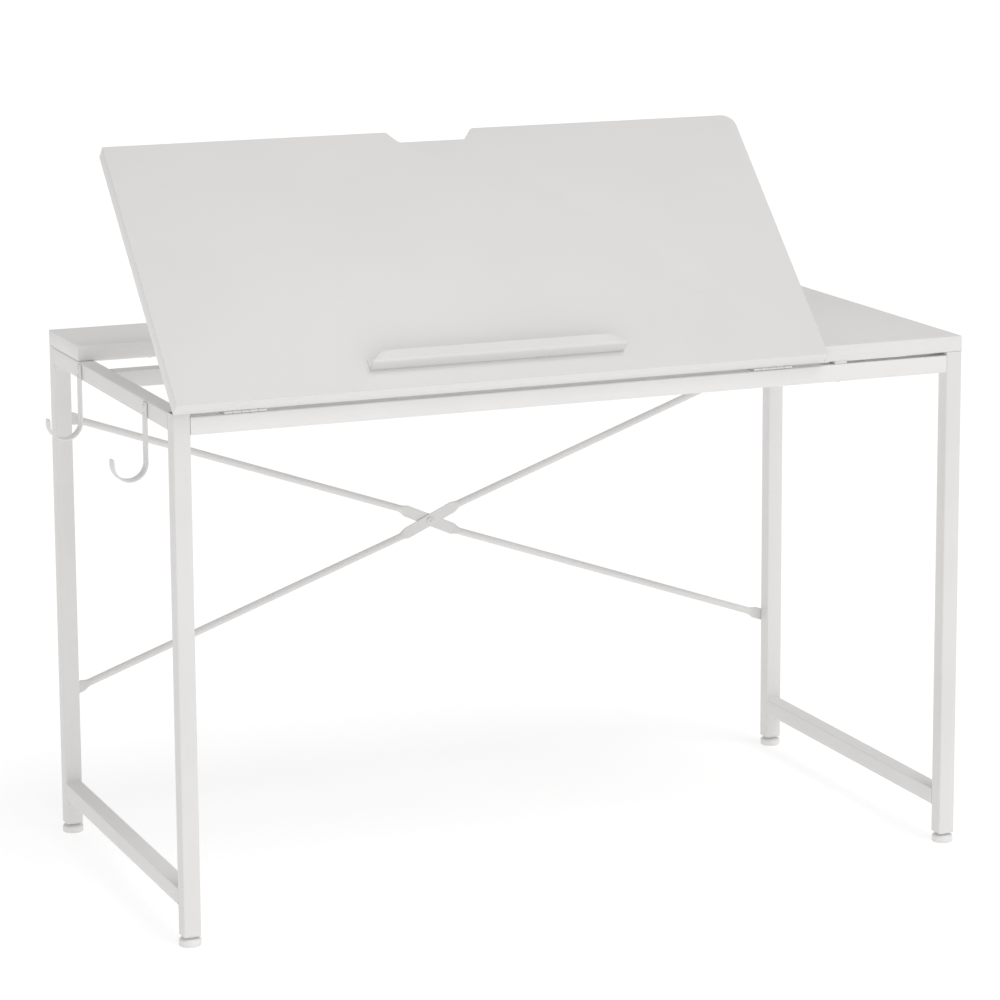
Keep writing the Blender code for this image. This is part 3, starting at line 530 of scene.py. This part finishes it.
# ---- ledge -----------------------------------------------------------------------------
def ledge():
    """A bent sheet trough: flange, shelf and a lip whose ends are cut back in a curve.

    The sheet is drawn at the middle of its thickness, as rows of a distance up the panel, a
    distance off it and a share of the end cut, and then thickened.
    """
    sheet, flange, depth, lip = 0.0015, 0.018, 0.0190, 0.0185
    left, right, end_cut, columns = -0.317, 0.062, 0.0225, 30
    heel, toe = 0.0004, 0.0022      # radii of the bends at the panel and at the lip
    turn, share = 0.0125, 0.50      # the cut is straight up to this height, where it reaches this share
    shelf = LEDGE_START + sheet / 2
    inner = FACE + HAIRLINE + sheet / 2
    outer = FACE + HAIRLINE + FIT + depth - sheet / 2
    rows = [(LEDGE_START + flange, inner, 0), (LEDGE_START + flange * 0.6, inner, 0),
            (shelf + 0.003, inner, 0)]
    rows += [(shelf + heel - heel * math.sin(a), inner + heel - heel * math.cos(a), 0)
             for a in quarter_turn(5)]
    rows += [(shelf, inner + 0.006, 0), (shelf, inner + 0.012, 0)]
    rows += [(shelf + toe - toe * math.cos(a), outer - toe + toe * math.sin(a), 0)
             for a in quarter_turn(6)]
    for i in range(1, 5):
        height = toe + (turn - toe) * i / 4
        rows.append((LEDGE_START + height, outer, share * (height - toe) / (turn - toe)))
    knee = share + share * (lip - turn) / (turn - toe)
    for i in range(1, 9):
        t = i / 8
        height = turn + (lip - turn) * (1 - (1 - t) ** 2)
        cut = share * (1 - t) ** 2 + 2 * knee * t * (1 - t) + t ** 2
        rows.append((LEDGE_START + height, outer, cut))
    bm = bmesh.new()
    grid = []
    for up, off, cut in rows:
        x0, x1 = left + end_cut * cut, right - end_cut * cut
        grid.append([bm.verts.new(PANEL @ Vector((x0 + (x1 - x0) * k / columns, up, off)))
                     for k in range(columns + 1)])
    for one, two in zip(grid, grid[1:]):
        for k in range(columns):
            bm.faces.new((one[k], one[k + 1], two[k + 1], two[k]))
    obj = make("pencil_ledge_sheet", bm, LEDGE_COAT, "tilting_panel", ("pencil_ledge",), 60)
    thick = obj.modifiers.new("sheet", "SOLIDIFY")
    thick.thickness, thick.offset = sheet, 0
    rim = obj.modifiers.new("rim", "BEVEL")
    rim.width, rim.segments = 0.00035, 2
    rim.limit_method, rim.angle_limit = "ANGLE", math.radians(60)


# ---- screws and bolts ------------------------------------------------------------------
def cross(a):
    """Outline of a cross recess: a share of the radius at each angle."""
    return 0.34 + 0.66 * abs(math.cos(2 * a)) ** 3


def hexagon(a):
    """Outline of a hexagon: a share of the radius at each angle."""
    return math.cos(math.pi / 6) / math.cos((a % (math.pi / 3)) - math.pi / 6)


Head = namedtuple("Head", "radius height recess shank length", defaults=(cross, 0.0, 0.0))
HOOK_SCREW = Head(0.0030, 0.0014, cross, 0.0014, 0.008)
BRACE_BOLT = Head(0.0054, 0.0034, hexagon, 0.0027, 0.012)
CENTRE_BOLT = Head(0.0052, 0.0026, hexagon, 0.0025, 0.0050)
PIVOT_BOLT = Head(0.0051, 0.0036, hexagon, 0.0029, 0.0066)
BRACKET_SCREW = Head(0.0044, 0.0026)
TOP_SCREW = Head(0.0044, 0.0024)
EAR_SCREW = Head(0.0034, 0.0020)
LEDGE_SCREW = Head(0.0034, 0.0016)
DOME = ((0.97, 0.0), (1.0, 0.12), (1.0, 0.34), (0.95, 0.58), (0.84, 0.80), (0.68, 0.94), (0.60, 0.98))
RECESS = ((0.50, 1.0), (0.47, 0.96), (0.36, 0.45), (0.15, 0.30))    # shares of radius and height


def pan_head(bm, head, seat, outward):
    """A domed screw head with a driven recess, and its shank where it shows."""
    if head.shank:
        rows = [(head.shank, -head.length), (head.shank, 0)]
    else:
        rows = [(head.radius * 0.4, 0.0)]
    rows += [(head.radius * wide, head.height * high) for wide, high in DOME]
    rows += [(head.radius * wide, head.height * high, head.recess) for wide, high in RECESS]
    turned(bm, rows, facing(seat, outward), 32)


def pan_heads(name, head, places, material, body, replaces=()):
    """One piece of equal heads, each at a seat and facing outward."""
    bm = bmesh.new()
    for seat, outward in places:
        pan_head(bm, head, seat, outward)
    make(name, bm, material, body, replaces)


def flat_heads(name, seats, outward, body):
    """Countersunk heads that sit flush, with a cross recess."""
    radius = 0.0026
    rows = [(radius * 0.5, -0.0007), (radius, -0.0001), (radius, 0.00010), (radius * 0.95, 0.00018),
            (radius * 0.62, 0.0002), (radius * 0.50, 0.0002, cross), (radius * 0.40, -0.0003, cross),
            (radius * 0.15, -0.0004, cross)]
    bm = bmesh.new()
    for seat in seats:
        turned(bm, rows, facing(seat, outward), 28)
    make(name, bm, ZINC, body)


def hook_screws():
    """The two screws that hold each hook on the left side rail."""
    gap = 0.00005
    for end in ("front", "rear"):
        for level in ("upper", "lower"):
            node = f"hook_screw_{end}_{level}"
            seat = middle_of(node)
            seat.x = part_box(f"side_hook_{end}")[1].x - HOOK_THICK - gap
            pan_heads(node + "_pan", HOOK_SCREW, [(seat, -X_AXIS)], COAT, "frame", (node,))


def brace_bolts():
    """The bolts at the four ends of the brace bars, driven from behind."""
    for level in ("upper", "lower"):
        for side, _ in SIDES:
            node = f"brace_bolt_{level}_{side}"
            seat = middle_of(node)
            seat.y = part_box(node)[1].y - BRACE_BOLT.height
            pan_heads(node + "_button", BRACE_BOLT, [(seat, Y_AXIS)], ZINC, "frame", (node,))


def centre_bolt():
    """The button head in front of the crossing and the domed nut behind it."""
    node, nut_height = "brace_centre_bolt", 0.0031
    low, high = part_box(node)
    x, _, z = middle_of(node)
    bm = bmesh.new()
    pan_head(bm, CENTRE_BOLT, Vector((x, low.y + CENTRE_BOLT.height, z)), -Y_AXIS)
    rows = [(0.0026, -0.0002), (0.0050, 0.0, hexagon), (0.0050, 0.0016, hexagon), (0.0046, 0.0018),
            (0.0040, 0.0026), (0.0024, 0.0030)]
    turned(bm, rows, facing(Vector((x, high.y - nut_height, z)), Y_AXIS), 36)
    make("brace_centre_bolt_and_nut", bm, COAT, "frame", (node,))


def pivot_bolts():
    """The bolts that the support arms turn on, with their heads towards the middle."""
    head_and_gap = 0.0038
    for side, sign in SIDES:
        node = f"support_pivot_bolt_{side}"
        seat = middle_of(node)
        seat.x = side_x(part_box(node), -sign) + sign * head_and_gap
        pan_heads(node + "_button", PIVOT_BOLT, [(seat, X_AXIS * -sign)], ZINC, "tilting_panel", (node,))


def bracket_screws():
    """Two screws in each corner bracket, one on the crossbar's side and one on the rail's."""
    plate, reach = 0.002, 0.0186
    places = []
    for row, inward in (("front", 1), ("middle", 1), ("rear", -1)):
        for side, sign in SIDES:
            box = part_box(f"corner_bracket_{row}_{side}")
            corner = (box[0] + box[1]) / 2
            corner.x = side_x(box, sign)
            corner.y = box[0].y if inward > 0 else box[1].y
            places.append((corner + Vector((-sign * reach, inward * plate, 0)), Y_AXIS * inward))
            places.append((corner + Vector((-sign * plate, inward * reach, 0)), X_AXIS * -sign))
    pan_heads("corner_bracket_screw_heads", BRACKET_SCREW, places, ZINC, "frame")


def track_screws():
    """A screw at each end of each slotted track."""
    from_edge, up, tab = 0.009, 0.0085, 0.003
    places = []
    for side, sign in SIDES:
        low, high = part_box(f"support_track_{side}")
        x = side_x((low, high), sign) - sign * from_edge
        places.append((Vector((x, low.y + tab, low.z + up)), Y_AXIS))
        places.append((Vector((x, high.y - tab, low.z + up)), -Y_AXIS))
    pan_heads("track_screw_heads", BRACKET_SCREW, places, ZINC, "frame")


def hinge_screws():
    """Three flush screws in each hinge leaf."""
    from_axis, spacing, leaf = 0.0135, 0.022, 0.0010
    frame_seats, panel_seats = [], []
    for side, _ in SIDES:
        low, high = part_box(f"hinge_frame_leaf_{side}")
        for i in (-1, 0, 1):
            x = (low.x + high.x) / 2 + i * spacing
            frame_seats.append(Vector((x, HINGE.y + from_axis, low.z + leaf)))
            panel_seats.append(PANEL @ Vector((x - CENTRE.x, from_axis, leaf)))
    flat_heads("hinge_frame_screw_heads", frame_seats, Z_AXIS, "frame")
    flat_heads("hinge_panel_screw_heads", panel_seats, PANEL.to_3x3() @ -Z_AXIS, "tilting_panel")


def panel_screws():
    """Screws of the pivot brackets, under the panel, and of the ledge, on its face."""
    turn = PANEL.to_3x3()
    from_side, up, spacing = 0.01736, 0.1649, 0.0099
    places = []
    for side, sign in SIDES:
        x = side_x(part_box(f"pivot_bracket_{side}"), sign) - sign * from_side - CENTRE.x
        for i in (-1, 1):
            places.append((PANEL @ Vector((x, up + i * spacing, 0)), turn @ -Z_AXIS))
    pan_heads("pivot_bracket_screw_heads", EAR_SCREW, places, ZINC, "tilting_panel")
    middle, spacing, up, flange_face = -0.1265, 0.140, LEDGE_START + 0.0100, FACE + 0.0016
    places = [(PANEL @ Vector((middle + i * spacing, up, flange_face)), turn @ Z_AXIS) for i in (-1, 0, 1)]
    pan_heads("ledge_screw_heads", LEDGE_SCREW, places, COAT, "tilting_panel")


def top_screws():
    """Heads of the screws that hold the fixed top, under the rails and the crossbars."""
    rail_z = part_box("top_rail_right")[0].z
    places = [(RAIL_LINE, y, rail_z) for y in (-0.18, 0.0, 0.18)]
    places += [(x, BAR_LINE, rail_z) for x in (-0.45, -0.15, 0.15, 0.45)]
    places.append((-RAIL_LINE, 0.22, rail_z))
    places.append((0.4035, -BAR_LINE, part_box("front_crossbar")[0].z))
    seats = [(Vector((CENTRE.x + x, CENTRE.y + y, z)), -Z_AXIS) for x, y, z in places]
    pan_heads("top_board_screw_heads", TOP_SCREW, seats, ZINC, "frame")


# ---- feet and knobs --------------------------------------------------------------------
def feet():
    """Turned plastic feet: a chamfered disc with a seam ring, a hexagonal neck and a stud."""
    r = 0.0155
    disc = [(0.004, 0), (r - 0.0022, 0), (r - 0.0010, 0.0003), (r - 0.0003, 0.0010), (r, 0.0020),
            (r, 0.0030), (r - 0.00025, 0.0032), (r - 0.00025, 0.0035), (r, 0.0037), (r, 0.0084),
            (r - 0.0003, 0.0094), (r - 0.0010, 0.0102), (r - 0.0022, 0.0108), (r - 0.0050, 0.0113)]
    neck = [(0.0076, 0.0116), (0.0070, 0.0119, hexagon), (0.0069, 0.0145, hexagon),
            (0.0066, 0.0148, hexagon)]
    stud = [(0.0040, 0.0148), (0.0039, 0.0398)]
    for end in ("front", "rear"):
        for side, _ in SIDES:
            node = f"levelling_foot_{end}_{side}"
            x, y, _ = middle_of(node)
            bm = bmesh.new()
            turned(bm, disc + neck + stud, Matrix.Translation((x, y, 0)), 60)
            make(node + "_turned", bm, PLASTIC, f"foot_{end}_{side}", (node,))


def lobed(a):
    """Outline of a knob with six lobes: a share of the radius at each angle."""
    return 1 - 0.055 * (1 - math.cos(6 * a))


def knobs():
    """Lobed hand knobs with a raised collar, a dished face and a threaded stud."""
    hand = [(0.0040, 0.0012), (0.0074, 0.0010), (0.0082, 0.0001), (0.0096, 0.0001, lobed),
            (0.0110, 0.0006, lobed), (0.0118, 0.0018, lobed), (0.0120, 0.0032, lobed),
            (0.0120, 0.0080, lobed), (0.0116, 0.0094, lobed), (0.0105, 0.0104, lobed)]
    collar = [(0.0080, 0.0108), (0.0070, 0.0112), (0.0068, 0.0120)]
    crest, root, pitch, start = 0.0026, 0.0023, 0.0008, 0.0124
    for side, sign in SIDES:
        node = f"clamp_knob_{side}"
        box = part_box(node)
        seat = middle_of(node)
        seat.x = side_x(box, sign)
        length = box[1].x - box[0].x
        stud = [(crest, 0.0121)]
        for i in range(int((length - start) / pitch)):
            at = start + i * pitch
            stud += [(crest, at), (root, at + pitch / 2)]
        stud += [(crest, length - 0.0004), (0.0022, length)]
        bm = bmesh.new()
        turned(bm, hand + collar + stud, facing(seat, X_AXIS * -sign), 72)
        make(node + "_lobed", bm, PLASTIC, f"knob_{side}", (node,), 40)


# ---- the table -------------------------------------------------------------------------
FINISHES = (    # how a node's name starts, its material and the width of its eased edges
    ("fixed_top", TOP_BOARD_PAINTED_LIGHTER, 0.0),
    ("tilt_panel", PANEL_BOARD_PAINTED_DARKER, 0.0),
    (("leg_insert", "board_spacer"), PLASTIC, 0.0003),
    ("hinge_pin", ZINC, 0.0002),
    (("hinge", "corner_bracket", "pivot_bracket", "support_arm", "support_track", "support_cross"),
     COAT, 0.0002))


def dress(name, obj):
    """Gives a node its finish; a tube gets a piece with rolled corners in its stead."""
    if any(word in name for word in TUBE_WORDS):
        tube(name)
        return
    for start, material, ease in FINISHES:
        if name.startswith(start):
            paint(obj, material)
            soften(obj, ease)
            return
    paint(obj, COAT)


def table():
    """Dresses the CAD nodes, then adds the pieces that stand for them or sit on them."""
    for name, obj in NODES.items():
        dress(name, obj)
    weld_beads()
    lean = 0.00135
    brace_bar("brace_bar_front", 1, -lean)
    brace_bar("brace_bar_rear", -1, lean)
    hook("side_hook_front")
    hook("side_hook_rear")
    ledge()
    hook_screws()
    brace_bolts()
    centre_bolt()
    pivot_bolts()
    bracket_screws()
    track_screws()
    hinge_screws()
    panel_screws()
    top_screws()
    feet()
    knobs()


# ---- stage, light, camera --------------------------------------------------------------
def floor():
    """A wide pale floor that glows a little, so that it shows white with faint shadows."""
    shader = Shader("studio_floor")
    cloud = shader.noise(shader.coordinates(), scale=1.5, detail=2.0)
    tone = shader.mix(shader.ramp(cloud, 0.3, 0.7), (0.445, 0.445, 0.445), (0.455, 0.455, 0.455))
    material = shader.finish(tone, 0.75, Emission_Color=(1, 1, 1, 1), Emission_Strength=0.64)
    bm = bmesh.new()
    bmesh.ops.create_circle(bm, cap_ends=True, radius=40, segments=96)
    mesh = bpy.data.meshes.new("studio_floor")
    bm.to_mesh(mesh)
    bm.free()
    mesh.materials.append(material)
    obj = bpy.data.objects.new("studio_floor", mesh)
    bpy.context.scene.collection.objects.link(obj)


def world(strength):
    """An even white sky."""
    made = bpy.data.worlds.new("studio")
    made.use_nodes = True
    background = made.node_tree.nodes["Background"]
    background.inputs["Color"].default_value = (1, 1, 1, 1)
    background.inputs["Strength"].default_value = strength
    bpy.context.scene.world = made


def sun(name, azimuth_deg, elevation_deg, strength, angle_deg):
    """A wide soft sun; azimuth 0 shines from the front, positive from the right."""
    data = bpy.data.lights.new(name, "SUN")
    data.energy, data.angle = strength, math.radians(angle_deg)
    obj = bpy.data.objects.new(name, data)
    bpy.context.scene.collection.objects.link(obj)
    a, e = math.radians(azimuth_deg), math.radians(elevation_deg)
    toward = Vector((math.sin(a) * math.cos(e), -math.cos(a) * math.cos(e), math.sin(e)))
    obj.rotation_euler = toward.to_track_quat("Z", "Y").to_euler()


def camera():
    """A long lens, left of the front and a little above the table."""
    azimuth, elevation, roll = math.radians(-23.35), math.radians(10.67), math.radians(-0.17)
    ahead = Vector((-math.sin(azimuth) * math.cos(elevation), math.cos(azimuth) * math.cos(elevation),
                    -math.sin(elevation)))
    level = Vector((math.cos(azimuth), math.sin(azimuth), 0))
    upright = level.cross(ahead)
    right = level * math.cos(roll) + upright * math.sin(roll)
    up = -level * math.sin(roll) + upright * math.cos(roll)
    place = Matrix((right, up, -ahead)).transposed().to_4x4()
    place.translation = Vector((-2.04185, -4.99349, 1.685))
    data = bpy.data.cameras.new("camera")
    data.sensor_width, data.lens = 36, 134.748
    data.shift_x, data.shift_y = -0.06, -0.10
    data.clip_end = 200
    obj = bpy.data.objects.new("camera", data)
    bpy.context.scene.collection.objects.link(obj)
    obj.matrix_world = place
    bpy.context.scene.camera = obj


table()
floor()
world(strength=0.58)
sun("key", azimuth_deg=20, elevation_deg=60, strength=0.98, angle_deg=35)
sun("front_fill", azimuth_deg=10, elevation_deg=12, strength=0.16, angle_deg=50)
camera()
bpy.context.scene.view_settings.view_transform = "Standard"
